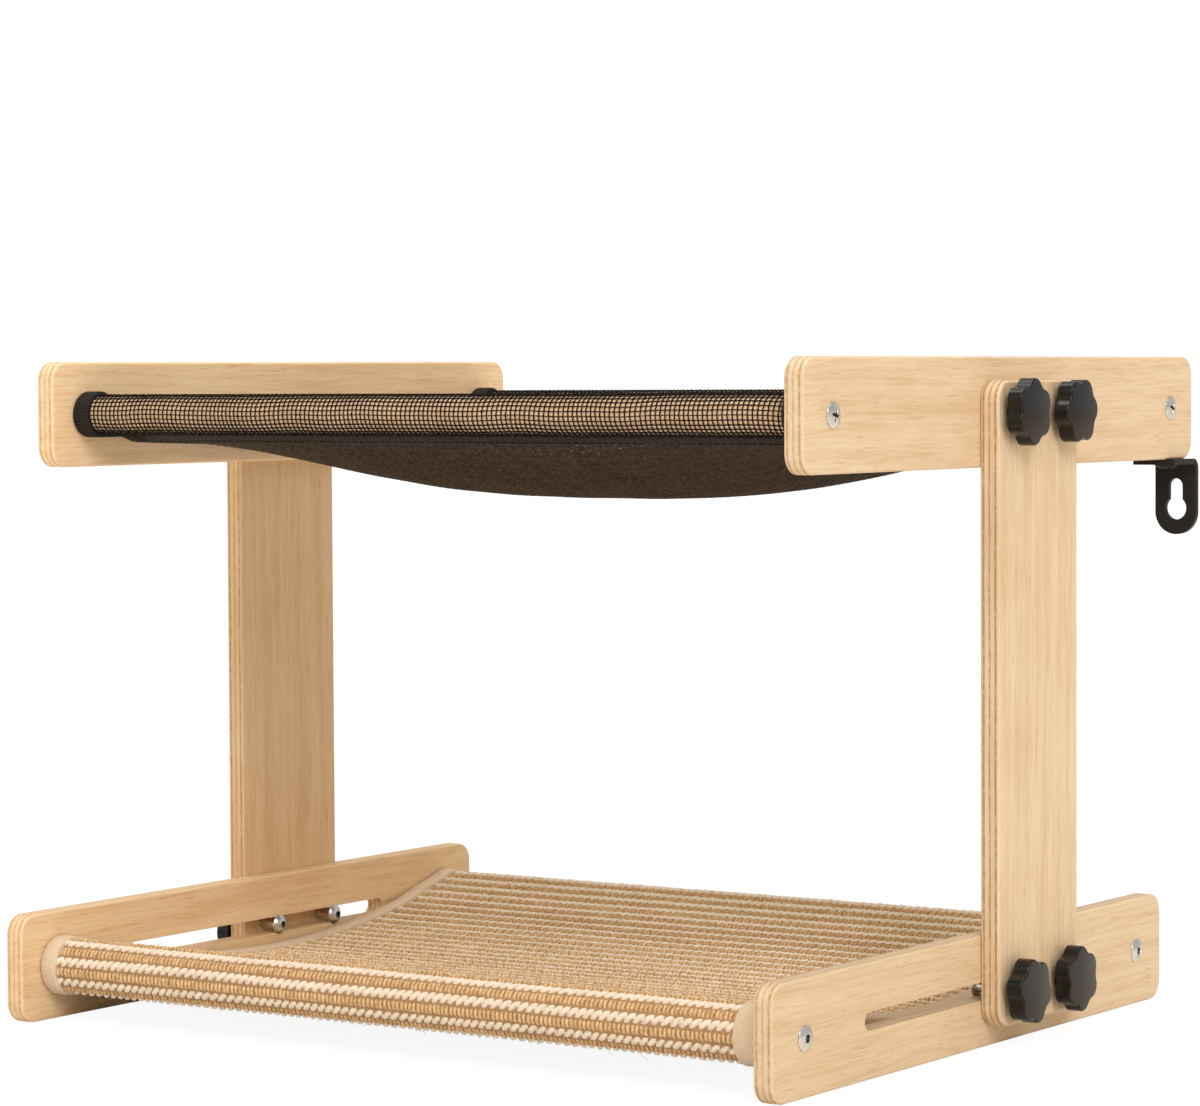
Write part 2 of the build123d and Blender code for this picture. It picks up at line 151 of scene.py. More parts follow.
# Plywood: the depth into the board, in millimetres, picks the ply, and fine dashes run along
# the grain. The three cross plies are darker, each between the middles of its two ramps.
# The tint scales the board's colours as painted light: above one it paints light, below one it paints
# shade.
def plywood(innerFace, grainAxis, edgeContrast, paintedLightTint):
    def build(shade):
        place = position(shade)
        x, y, z = parts(shade, place)
        depth = (shade.math("ABSOLUTE", x) - innerFace * milli) / milli
        wave = shade.noise(place, 30.0, 1.0)
        layer = depth + (wave - 0.5) * 0.35
        inFirst = layer.ramp(1.10, 1.35) * (1 - layer.ramp(2.05, 2.35))
        inMiddle = layer.ramp(3.95, 4.20) * (1 - layer.ramp(4.75, 5.05)) * 0.75
        inLast = layer.ramp(6.65, 6.90) * (1 - layer.ramp(7.60, 7.90))
        cross = inFirst + inMiddle + inLast
        drift = shade.noise(place, 9.0, 2.0)
        bent = shade.node("VectorMath", {"operation": "MULTIPLY_ADD"},
                          {0: drift, 1: (0.008, 0.008, 0.008), 2: place})
        dash = shade.noise(bent, grained(800.0, 22.0, grainAxis), 3.0, 0.62)
        band = shade.noise(bent, grained(160.0, 7.0, grainAxis), 3.0, 0.55)
        blotch = shade.noise(place, 14.0, 2.0)
        pale = rgb(0.795 * paintedLightTint[0], 0.652 * paintedLightTint[1], 0.474 * paintedLightTint[2])
        deep = rgb(0.640 * paintedLightTint[0], 0.455 * paintedLightTint[1], 0.270 * paintedLightTint[2])
        brown = rgb(0.430 * paintedLightTint[0], 0.268 * paintedLightTint[1], 0.140 * paintedLightTint[2])
        pores = shade.noise(bent, grained(1500.0, 75.0, grainAxis), 2.0, 0.55).ramp(0.57, 0.70)
        grain = dash.ramp(0.42, 0.66) * 0.36 + band.ramp(0.35, 0.70) * 0.38
        grain = grain + blotch.ramp(0.35, 0.70) * 0.26 + pores * 0.55
        face = shade.mix(grain, pale, deep)
        speck = shade.noise(place, 420.0, 1.0)
        edge = cross * (0.55 + 0.45 * speck.ramp(0.35, 0.6)) * edgeContrast
        colour = shade.mix(edge, face, brown)
        relief = dash * 0.6 + cross * -0.6
        return {"Base Color": colour, "Roughness": 0.5 + band * 0.1, "Coat Weight": 0.12,
                "Coat Roughness": 0.35, "Normal": shade.bump(relief, 0.0002, 0.35)}
    return build


def turnedWood(shade):
    place = position(shade)
    grain = shade.noise(place, grained(620.0, 14.0, 0), 3.0, 0.6)
    colour = shade.mix(grain.ramp(0.35, 0.7), rgb(0.98, 0.75, 0.53), rgb(0.86, 0.60, 0.38))
    return {"Base Color": colour, "Roughness": 0.55, "Normal": shade.bump(grain, 0.0002, 0.3)}


# Bright zinc, with painted shade in the recess: dark near a head's axis and short of its crown.
def zincSteel(rows, level, seat, reach, crown):
    def build(shade):
        place = position(shade)
        x, y, z = parts(shade, place)
        fromFront = shade.math("ABSOLUTE", y - rows[0] * milli)
        fromRear = shade.math("ABSOLUTE", y - rows[1] * milli)
        aside = shade.math("MINIMUM", fromFront, fromRear)
        above = z - level * milli
        off = shade.math("SQRT", aside * aside + above * above)
        depth = shade.math("ABSOLUTE", shade.math("ABSOLUTE", x) - seat * milli)
        within = 1 - off.ramp(reach * milli, reach * 1.06 * milli)
        recess = within * (1 - depth.ramp((crown - 0.2) * milli, crown * milli))
        haze = shade.noise(place, 900.0, 2.0)
        worn = shade.noise(place, 330.0, 3.0, 0.6)
        metal = shade.mix(worn.ramp(0.35, 0.65), rgb(0.62, 0.61, 0.58), rgb(0.76, 0.75, 0.72))
        # The recess mask paints shade: near-black is mixed into the zinc there.
        return {"Base Color": shade.mix(recess * 0.88, metal, rgb(0.03, 0.028, 0.025)),
                "Metallic": 1.0, "Roughness": 0.20 + haze * 0.14,
                "Normal": shade.bump(worn, 0.0001, 0.2)}
    return build


def blackPlastic(shade):
    place = position(shade)
    haze = shade.noise(place, 700.0, 2.0)
    return {"Base Color": rgb(0.010, 0.009, 0.009), "Roughness": 0.12 + haze * 0.10,
            "Specular IOR Level": 0.28}


def brass(shade):
    place = position(shade)
    haze = shade.noise(place, 900.0, 2.0)
    return {"Base Color": rgb(0.72, 0.52, 0.22), "Metallic": 1.0, "Roughness": 0.25 + haze * 0.2}


def blackSteel(shade):
    place = position(shade)
    haze = shade.noise(place, 520.0, 3.0)
    return {"Base Color": shade.mix(haze, rgb(0.012, 0.011, 0.009), rgb(0.024, 0.022, 0.019)),
            "Specular IOR Level": 0.16, "Roughness": 0.34 + haze * 0.2,
            "Normal": shade.bump(haze, 0.0002, 0.35)}


# Yarn and cloth read the flow attribute: metres along in its first value, tone in its third.
def flowOf(shade):
    return parts(shade, shade.node("Attribute", {"attribute_name": "flow"}, {}, output="Vector"))


# Fuzz is the fibres' cells a metre, and the last argument is painted shade: it darkens the yarn towards the
# rear.
def yarn(dark, light, fuzz, roughness, gloss=0.3, rearShade=0.0):
    def build(shade):
        tone = flowOf(shade)[2]
        place = position(shade)
        fibre = shade.noise(place, fuzz, 3.0, 0.65)
        patch = shade.noise(place, 330.0, 2.0, 0.6)
        blend = fibre.ramp(0.28, 0.72) * 0.42 + patch.ramp(0.32, 0.68) * 0.36 + tone * 0.22
        # Painted shade: the yarn is darkened towards the rear of the mat.
        blend = blend * (1 - parts(shade, place)[1].ramp(-0.02, 0.10) * rearShade)
        return {"Base Color": shade.mix(blend, dark, light), "Roughness": roughness,
                "Specular IOR Level": gloss, "Normal": shade.bump(fibre, 0.0004, 0.55)}
    return build


# Ribs lie across the run of a tape, one a period.
def ribbed(dark, light, period, roughness):
    def build(shade):
        run = flowOf(shade)[0]
        place = position(shade)
        rib = shade.math("SINE", run * (2 * pi / period)) * 0.5 + 0.5
        fibre = shade.noise(place, 1500.0, 2.0, 0.6)
        blend = fibre * 0.6 + rib * 0.4
        return {"Base Color": shade.mix(blend, dark, light), "Roughness": roughness,
                "Specular IOR Level": 0.2, "Normal": shade.bump(rib * 0.7 + fibre * 0.3, 0.0003, 0.6)}
    return build


# The left boards' tints are painted light and shade: the left rails are painted lighter, the left post
# darker and warmer; the right boards' tints are near one.
looks = {
    "upperRightPly": material("UpperRightPly", plywood(upperRailInner, 1, 0.80, (1.0, 1.0, 1.0))),
    "upperLeftPly": material("UpperLeftPly", plywood(upperRailInner, 1, 0.80, (1.22, 1.19, 1.12))),
    "lowerRightPly": material("LowerRightPly", plywood(lowerRailInner, 1, 0.85, (0.98, 0.98, 0.97))),
    "lowerLeftPly": material("LowerLeftPly", plywood(lowerRailInner, 1, 0.80, (1.10, 1.06, 0.96))),
    "rightPostPly": material("RightPostPly", plywood(postInner, 2, 1.20, (0.99, 1.0, 0.99))),
    "leftPostPly": material("LeftPostPly", plywood(postInner, 2, 0.90, (0.97, 0.91, 0.80))),
    "rod": material("RodWood", turnedWood),
    "upperScrew": material("UpperScrewZinc", zincSteel(upperRodRows, upperAxis, upperScrewSeat, 2.7, 1.3)),
    "lowerScrew": material("LowerScrewZinc", zincSteel(lowerRodRows, lowerAxis, lowerScrewSeat, 2.0, 1.3)),
    "upperBolt": material("UpperBoltZinc", zincSteel(boltRows, upperAxis, upperBoltSeat, 1.8, 2.3)),
    "lowerBolt": material("LowerBoltZinc", zincSteel(boltRows, lowerAxis, lowerBoltSeat, 1.8, 2.3)),
    "plastic": material("BlackPlastic", blackPlastic),
    "brass": material("Brass", brass),
    "steel": material("BlackSteel", blackSteel),
    "mesh": material("MeshYarn", yarn(
        rgb(0.014, 0.009, 0.006), rgb(0.105, 0.075, 0.054), 1800.0, 0.7, 0.18)),
    "sleeve": material("SleeveYarn", yarn(
        rgb(0.005, 0.004, 0.003), rgb(0.026, 0.018, 0.014), 1800.0, 0.7, 0.10)),
    "band": material("MeshBand", ribbed(
        rgb(0.006, 0.005, 0.004), rgb(0.030, 0.022, 0.016), 0.0023, 0.75)),
    "blackTape": material("BlackTape", ribbed(
        rgb(0.007, 0.006, 0.006), rgb(0.034, 0.030, 0.028), 0.0013, 0.9)),
    "cream": material("CreamRope", yarn(
        rgb(0.73, 0.61, 0.48), rgb(0.97, 0.90, 0.82), 1500.0, 0.85, rearShade=0.2)),
    "sisal": material("TanSisal", yarn(
        rgb(0.44, 0.26, 0.11), rgb(0.95, 0.71, 0.43), 1300.0, 0.8, rearShade=0.3)),
    "core": material("MatCore", yarn(
        rgb(0.30, 0.18, 0.085), rgb(0.48, 0.31, 0.165), 900.0, 0.9)),
    "beige": material("BeigeTape", ribbed(
        rgb(0.62, 0.49, 0.37), rgb(0.82, 0.69, 0.55), 0.0007, 0.85)),
    "thread": material("SewingThread", yarn(
        rgb(0.010, 0.009, 0.009), rgb(0.030, 0.027, 0.025), 2500.0, 0.6)),
}
wearers = {
    "upperRightPly": ["upper_rail_right"], "upperLeftPly": ["upper_rail_left"],
    "lowerRightPly": ["lower_rail_right"], "lowerLeftPly": ["lower_rail_left"],
    "rightPostPly": ["post_right"], "leftPostPly": ["post_left"],
    "rod": ["upper_front_rod", "upper_rear_rod", "lower_front_rod", "lower_rear_rod"],
    "upperBolt": ["upper_post_bolts"], "lowerBolt": ["lower_post_bolts"],
    "plastic": [name for name in nodes if name.startswith("knob_")],
    "brass": [name for name in nodes if name.startswith("insert_")],
    "steel": ["wall_bracket", "bracket_screws"],
}
for look, names in wearers.items():
    for name in names:
        nodes[name].data.materials.clear()
        nodes[name].data.materials.append(looks[look])
print("materials made")


# Meshes. A shape is its points, its lists of faces, and the flow values of its points.
def joined(shapes):
    points, faceSets, flows, count = [], [], [], 0
    for shape in shapes:
        points.append(shape[0])
        flows.append(shape[2])
        faceSets += [faces + count for faces in shape[1]]
        count += len(shape[0])
    return np.concatenate(points), faceSets, np.concatenate(flows)


def piece(name, shape, look, body, replaced=()):
    points, faceSets, flows = shape
    mesh = bpy.data.meshes.new(name)
    mesh.vertices.add(len(points))
    mesh.vertices.foreach_set("co", (points * milli).astype(np.float32).ravel())
    corners = np.concatenate([faces.ravel() for faces in faceSets]).astype(np.int32)
    sizes = np.concatenate([np.full(len(faces), faces.shape[1]) for faces in faceSets])
    starts = np.concatenate([[0], np.cumsum(sizes)[:-1]]).astype(np.int32)
    mesh.loops.add(len(corners))
    mesh.loops.foreach_set("vertex_index", corners)
    mesh.polygons.add(len(sizes))
    mesh.polygons.foreach_set("loop_start", starts)
    mesh.update(calc_edges=True)
    mesh.polygons.foreach_set("use_smooth", np.ones(len(sizes), bool))
    flow = mesh.attributes.new("flow", "FLOAT_VECTOR", "POINT")
    flow.data.foreach_set("vector", flows.astype(np.float32).ravel())
    mesh.materials.append(looks[look])
    made = bpy.data.objects.new(name, mesh)
    scene.collection.objects.link(made)
    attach(made, body)
    if replaced:
        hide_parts(*replaced)
    return made


def unit(vectors):
    return vectors / np.linalg.norm(vectors, axis=-1, keepdims=True)


# Tubes along several paths at once: each ring lies square to its path, its second
# coordinate towards the given up direction, and its points run from side to up.
def sweep(paths, ups, ring, tones=None):
    paths = np.asarray(paths, float)
    ups = np.broadcast_to(ups, paths.shape)
    ahead = unit(np.gradient(paths, axis=1))
    side = unit(np.cross(ahead, ups))
    up = np.cross(side, ahead)
    ring = np.asarray(ring, float)
    ring = np.broadcast_to(ring, paths.shape[:2] + ring.shape[-2:])
    points = paths[:, :, None] + side[:, :, None] * ring[..., :1] + up[:, :, None] * ring[..., 1:]
    count, steps, around = points.shape[:3]
    index = np.arange(count * steps * around).reshape(count, steps, around)
    after = np.roll(index, -1, axis=2)
    quads = np.stack([index[:, :-1], index[:, 1:], after[:, 1:], after[:, :-1]], -1)
    caps = np.concatenate([index[:, 0], index[:, -1, ::-1]])
    lengths = np.linalg.norm(np.diff(paths, axis=1), axis=-1).cumsum(axis=1)
    runs = np.concatenate([np.zeros((count, 1)), lengths], axis=1) * milli
    tones = np.full(count, 0.5) if tones is None else tones
    flows = np.zeros(points.shape)
    flows[..., 0] = runs[:, :, None]
    flows[..., 2] = tones[:, None, None]
    return points.reshape(-1, 3), [quads.reshape(-1, 4), caps], flows.reshape(-1, 3)


def roundRing(radius, sides, turn=0.0):
    angles = 2 * pi * np.arange(sides) / sides + turn
    return np.stack([radius * np.cos(angles), radius * np.sin(angles)], -1)


# A rectangle with rounded corners, three points a corner.
def padRing(width, height, corner):
    ring = []
    for quarter in range(4):
        signX = 1 if quarter in (0, 3) else -1
        signY = 1 if quarter in (0, 1) else -1
        for share in (0.0, 0.5, 1.0):
            angle = pi / 2 * (quarter + share)
            ring.append((signX * (width / 2 - corner) + corner * cos(angle),
                         signY * (height / 2 - corner) + corner * sin(angle)))
    return np.array(ring)


# Evenly spaced points along a line of points.
def spaced(line, count):
    line = np.asarray(line, float)
    lengths = np.concatenate([[0], np.linalg.norm(np.diff(line, axis=0), axis=1).cumsum()])
    at = np.linspace(0, lengths[-1], count)
    return np.stack([np.interp(at, lengths, line[:, axis]) for axis in range(line.shape[1])], -1)


random = np.random.default_rng(20)


# One inside an edge and nought past it, with a sloping wall between.
def inside(edge, values, wall):
    return np.clip((edge - values) / wall, 0, 1)


# Screws into the rod ends, with low truss heads. The head's height falls as a shallow
# parabola from its middle to its rim, less the recess, a cross or a hexagon.
screw = {"sides": 96, "rings": 46, "axisRadius": 0.05, "headRadius": 5.15, "headHeight": 1.75,
         "rimHeight": 0.45, "recessDepth": 1.5, "crossHalf": 0.62, "crossReach": 2.65,
         "crossCore": 1.15, "hexagonHalf": 1.75, "shankRadius": 2.0, "pointFrom": 27.0, "length": 30.0}


def screwShape(crossed):
    headRadius = screw["headRadius"]
    rimHeight = screw["rimHeight"]
    angles = 2 * pi * np.arange(screw["sides"]) / screw["sides"]
    radii = np.linspace(screw["axisRadius"], headRadius, screw["rings"])[:, None]
    first = radii * np.cos(angles)
    second = radii * np.sin(angles)
    crown = rimHeight + (screw["headHeight"] - rimHeight) * (1 - (radii / headRadius) ** 2)
    if crossed:
        narrow = np.minimum(np.abs(first), np.abs(second))
        recess = inside(screw["crossHalf"], narrow, 0.12) * inside(screw["crossReach"], radii, 0.5)
        recess = np.maximum(recess, inside(screw["crossCore"], radii, 0.2))
    else:
        flats = [np.abs(first * cos(turn) + second * sin(turn)) for turn in (0, pi / 3, 2 * pi / 3)]
        recess = inside(screw["hexagonHalf"], np.maximum.reduce(flats), 0.14)
    tops = crown - screw["recessDepth"] * recess
    rows = [np.stack([tops[row], first[row], second[row]], -1) for row in range(len(tops))]
    profile = [(headRadius + 0.1, rimHeight * 0.6), (headRadius, 0.0), (screw["shankRadius"], 0.0),
               (screw["shankRadius"], -screw["pointFrom"]), (screw["axisRadius"], -screw["length"])]
    rows += [np.stack([0 * angles + height, radius * np.cos(angles), radius * np.sin(angles)], -1)
             for radius, height in profile]
    points = np.stack(rows)
    index = np.arange(points.shape[0] * screw["sides"]).reshape(-1, screw["sides"])
    after = np.roll(index, -1, axis=1)
    quads = np.stack([index[:-1], index[1:], after[1:], after[:-1]], -1).reshape(-1, 4)
    return points.reshape(-1, 3), [quads, index[:1], index[-1:, ::-1]]


for tier, crossed, places, level, seat in (
        ("Upper", True, upperRodRows, upperAxis, upperScrewSeat),
        ("Lower", False, lowerRodRows, lowerAxis, lowerScrewSeat)):
    points, faceSets = screwShape(crossed)
    screws = []
    for place in places:
        for sign in (1, -1):
            spin = random.uniform(-0.5, 0.5)
            y = points[:, 1] * sign
            z = points[:, 2]
            turned = np.stack([points[:, 0] * sign, y * cos(spin) - z * sin(spin),
                               y * sin(spin) + z * cos(spin)], -1)
            screws.append((turned + [sign * seat, place, level], faceSets, np.zeros(points.shape)))
    piece(tier + "RodScrews", joined(screws), tier.lower() + "Screw", tier.lower() + "_frame",
          [tier.lower() + "_rod_screws"])
print("screws made")

# Hammock. Sizes of the mesh as the solid has them, but for the sags, which follow the photograph.
hammock = {"middle": 12.0, "halfSpan": 148.0, "axis": upperAxis, "slope": radians(20.0), "sleeve": 8.5,
           "tip": 22.0, "reach": 35.0, "lap": 1.5, "halfWidth": 184.3, "edge": 185.6, "edgeSag": 2.5,
           "middleSag": 26.6, "flatFrom": 177.1, "tapeWide": 8.5, "yarn": 0.40, "yarnLift": 0.30,
           "sleeveYarn": 0.295, "sleeveYarnLift": 0.22, "sleevePitch": 2.0}
bellyRun = hammock["reach"] - hammock["lap"]
bellyEnd = hammock["halfSpan"] - bellyRun * cos(hammock["slope"])
bellyTop = hammock["axis"] - bellyRun * sin(hammock["slope"])


# The belly hangs in arcs: the sag eases from the middle value to the edge value with
# (1 - share cubed) to the power 1.5, and each lengthwise line is an arc through its ends.
def bellyHeight(x, y):
    share = np.clip(np.abs(x) / hammock["flatFrom"], 0, 1)
    extra = hammock["middleSag"] - hammock["edgeSag"]
    sag = hammock["edgeSag"] + extra * (1 - share ** 3) ** 1.5
    radius = (bellyEnd ** 2 + sag ** 2) / (2 * sag)
    return bellyTop - sag + radius - np.sqrt(radius ** 2 - y ** 2)


# A wave along one direction, bent by a second one across it.
def bentWave(along, across, reach, phase, bend):
    return np.sin(along / reach * 2 * pi + phase + 1.3 * np.sin(across / reach * 4 + bend))


# Slow wandering of the yarns, a sum of waves of four lengths with drawn phases.
def wander(first, second, size):
    lengths = (150.0, 95.0, 60.0, 38.0)
    total = np.zeros(np.broadcast(first, second).shape)
    for reach in lengths:
        phases = random.uniform(0, 2 * pi, 4)
        total += bentWave(first, second, reach, phases[0], phases[1])
        total += bentWave(second, first, reach, phases[2], phases[3])
    return total * size / len(lengths)


# Two sets of yarns through one grid of crossings, each going over and under the other.
def weave(grid, normals, lift, ring):
    rows, columns = grid.shape[:2]
    sign = np.where((np.arange(rows)[:, None] + np.arange(columns)) % 2, 1.0, -1.0)[..., None]
    lengthwise = grid + normals * sign * lift
    crosswise = grid - normals * sign * lift
    first = sweep(lengthwise, normals, ring, random.random(rows))
    second = sweep(crosswise.transpose(1, 0, 2), normals.transpose(1, 0, 2), ring, random.random(columns))
    return joined([first, second])


bellyColumns = 155
bellyRows = 99
across, along = np.meshgrid(np.linspace(-hammock["halfWidth"], hammock["halfWidth"], bellyColumns),
                            np.linspace(-bellyEnd, bellyEnd, bellyRows), indexing="ij")
fade = 1 - (np.abs(along) / bellyEnd) ** 6
driftX = wander(across, along, 0.85) * fade
driftY = wander(across, along, 0.75) * fade
placeX = np.clip(across + driftX, -hammock["halfWidth"], hammock["halfWidth"])
placeY = np.clip(along + driftY, -bellyEnd, bellyEnd)
ripple = wander(across, along, 0.25) * fade
bellyGrid = np.stack([placeX, placeY + hammock["middle"], bellyHeight(placeX, placeY) + ripple], -1)
bellyNormals = unit(np.cross(np.gradient(bellyGrid, axis=0), np.gradient(bellyGrid, axis=1)))
shape = weave(bellyGrid, bellyNormals, hammock["yarnLift"], roundRing(hammock["yarn"], 3))
belly = piece("HammockBelly", shape, "mesh", "upper_frame", ["mesh_hammock"])


# A point of a sleeve's section: along the slope to the middle and square to it, at either rod.
def sleevePoint(end, run, rise):
    slope = hammock["slope"]
    y = run * cos(slope) + rise * sin(slope) - hammock["halfSpan"]
    z = rise * cos(slope) - run * sin(slope) + hammock["axis"]
    return y * (1 if end == "Front" else -1) + hammock["middle"], z


# A sleeve's section: a straight run, the tangent to the circle, round the rod and back.
def sleeveLine(radius, tip, halfTip, start, maxThin=0.75):
    lean = acos(radius / hypot(tip, halfTip)) + atan2(halfTip, tip)
    angles = np.linspace(lean, 2 * pi - lean, 49)
    arc = [(radius * cos(angle), radius * sin(angle)) for angle in angles]
    thin = min(halfTip, maxThin)
    return np.array([(start, thin), (tip, halfTip)] + arc + [(tip, -halfTip), (start, -thin)])


sleeveColumns = 160
sleeveRounds = 40
bandSteps = 60
band = {"run": 28.3, "wide": 13.4, "thick": 2.1, "corner": 0.9}
stitch = {"from": -174.0, "to": 173.0, "pitch": 3.6, "length": 2.6, "radius": 0.28, "height": 1.05,
          "runs": (24.5, 32.5)}
sleeves, bands, stitches = [], [], []
for end in ("Front", "Rear"):
    line = sleeveLine(hammock["sleeve"], hammock["tip"], 0.45, hammock["tip"] + 2.0)
    line = spaced(line, sleeveRounds)
    y, z = sleevePoint(end, line[:, 0], line[:, 1])
    rowX = np.linspace(-hammock["halfWidth"], hammock["halfWidth"], sleeveColumns)
    sleeveGrid = np.empty((sleeveColumns, sleeveRounds, 3))
    sleeveGrid[..., 0] = rowX[:, None]
    sleeveGrid[..., 1] = y
    sleeveGrid[..., 2] = z
    # The weave wanders most halfway round, and not at the seam.
    around = np.broadcast_to(np.arange(sleeveRounds) * hammock["sleevePitch"], sleeveGrid.shape[:2])
    loose = np.sin(around / ((sleeveRounds - 1) * hammock["sleevePitch"]) * pi)
    slip = wander(rowX[:, None], around, 0.55) * loose
    sleeveGrid[..., 0] += wander(rowX[:, None], around, 0.85) * loose
    sleeveGrid[..., 0] = np.clip(sleeveGrid[..., 0], -hammock["halfWidth"], hammock["halfWidth"])
    ahead = np.gradient(sleeveGrid[..., 1:], axis=1) / hammock["sleevePitch"]
    sleeveGrid[..., 1:] += ahead * slip[..., None]
    normals = unit(np.cross(np.gradient(sleeveGrid, axis=0), np.gradient(sleeveGrid, axis=1)))
    yarnRing = roundRing(hammock["sleeveYarn"], 4, pi / 4)
    shape = weave(sleeveGrid, normals, hammock["sleeveYarnLift"], yarnRing)
    sleeves.append(piece("HammockSleeve" + end, shape, "sleeve", "upper_frame"))
    # The doubled band, stitched through, from the tip to the belly.
    up = np.array([0, *np.subtract(sleevePoint(end, 0, 1), sleevePoint(end, 0, 0))])
    y, z = sleevePoint(end, band["run"], 0.0)
    bandX = np.linspace(-hammock["halfWidth"], hammock["halfWidth"], bandSteps)
    path = np.stack([bandX, np.full(bandSteps, y), z + 0.15 * np.sin(bandX / 21)], -1)
    shape = sweep(path[None], up, padRing(band["wide"], band["thick"], band["corner"]))
    bands.append(piece("HammockBand" + end, shape, "band", "upper_frame"))
    dashes = []
    starts = np.arange(stitch["from"], stitch["to"], stitch["pitch"])
    for height in (stitch["height"], -stitch["height"]):
        for run in stitch["runs"]:
            y, z = sleevePoint(end, run, height)
            outY, outZ = sleevePoint(end, run, height * 1.35)
            paths = np.zeros((len(starts), 3, 3))
            paths[..., 0] = starts[:, None] + np.array([0.0, stitch["length"] / 2, stitch["length"]])
            paths[..., 1] = [y, outY, y]
            paths[..., 2] = [z, outZ, z]
            dashes.append(sweep(paths, up, roundRing(stitch["radius"], 4, pi / 4)))
    shape = joined(dashes)
    stitches.append(piece("HammockStitches" + end, shape, "thread", "upper_frame"))
print("hammock woven")

# Black binding on the hammock's side edges: along the belly and round each sleeve's end.
tapeSteps = 90
for side, sign in (("Right", 1), ("Left", -1)):
    centreX = sign * (hammock["edge"] - hammock["tapeWide"] / 2)
    strips = []
    for end in ("Front", "Rear"):
        line = spaced(sleeveLine(9.12, 23.5, 1.05, 31.5), tapeSteps)
        y, z = sleevePoint(end, line[:, 0], line[:, 1])
        path = np.stack([np.full(tapeSteps, centreX), y, z], -1)
        if end == "Front":
            path = path[::-1]
        flat = unit(np.cross(np.gradient(path, axis=0), np.array([1.0, 0, 0])))
        strips.append(sweep(path[None], flat[None], padRing(hammock["tapeWide"], 1.96, 0.85)))
    # Past flatFrom the belly has its edge sag, so twice the centre's X gives the edge's height.
    y = np.linspace(-bellyEnd, bellyEnd, tapeSteps)
    z = bellyHeight(centreX * 2, y)
    path = np.stack([np.full(tapeSteps, centreX), y + hammock["middle"], z], -1)
    strips.append(sweep(path[None], (0.0, 0.0, 1.0), padRing(hammock["tapeWide"], 2.6, 1.1)))
    piece("HammockTape" + side, joined(strips), "blackTape", "upper_frame",
                       ["hammock_edge_tape_" + side.lower()])
print("hammock bound")

# Mat. Its middle line in YZ: tail, front roll, sagging top, rear roll, tail.
mat = {"middle": -16.0, "halfSpan": 142.5, "axis": lowerAxis, "arcZ": 508.5, "inner": 8.1,
       "thick": 3.9, "tail": 34.0, "rowHalf": 181.2, "edge": 185.5, "waistEdge": 182.75,
       "waistFrom": -120.5, "waistTo": 85.5, "waistTaper": 16.0, "leftTape": 8.2, "rightTape": 16.0}
rollRadius = mat["inner"] + mat["thick"] / 2
link = hypot(mat["halfSpan"], mat["arcZ"] - mat["axis"])
topRadius = link - rollRadius


def matLine():
    centre = (-mat["halfSpan"], mat["axis"])
    under = topRadius + mat["thick"]
    tailY = mat["tail"] - mat["halfSpan"]
    tail = (tailY, mat["arcZ"] - sqrt(under ** 2 - tailY ** 2))
    gone = hypot(tail[0] - centre[0], tail[1] - centre[1])
    low = atan2(tail[1] - centre[1], tail[0] - centre[0]) - acos(rollRadius / gone)
    high = atan2(mat["arcZ"] - mat["axis"], mat["halfSpan"]) - 2 * pi
    roll = [(centre[0] + rollRadius * cos(angle), centre[1] + rollRadius * sin(angle))
            for angle in np.linspace(low, high, 60)]
    swing = asin(mat["halfSpan"] / link)
    top = [(topRadius * sin(angle), mat["arcZ"] - topRadius * cos(angle))
           for angle in np.linspace(-swing, swing, 160)]
    front = [tail] + roll
    rear = [(-y, z) for y, z in reversed(front)]
    return np.array(front + top[1:-1] + rear)


middleLine = matLine()
pairs = 49
rowLine = spaced(middleLine, 4 * pairs + 1)
rowPlace = rowLine[1::2] + [mat["middle"], 0]
rowAhead = unit(np.gradient(rowLine, axis=0))[1::2]
# Outward is to the left of the way along the line, up on the top and out on the rolls.
rowOut = np.stack([-rowAhead[:, 1], rowAhead[:, 0]], -1)
print("mat rows", len(rowPlace))


# Rows laid beside each other: offsets along the mat and out of it, at places along X.
def rowPaths(rows, x, lengthways, outwards):
    place = rowPlace[rows][:, None]
    ahead = rowAhead[rows][:, None]
    out = rowOut[rows][:, None]
    flat = place + ahead * lengthways[..., None] + out * outwards[..., None]
    paths = np.empty(flat.shape[:2] + (3,))
    paths[..., 0] = x
    paths[..., 1:] = flat
    return paths


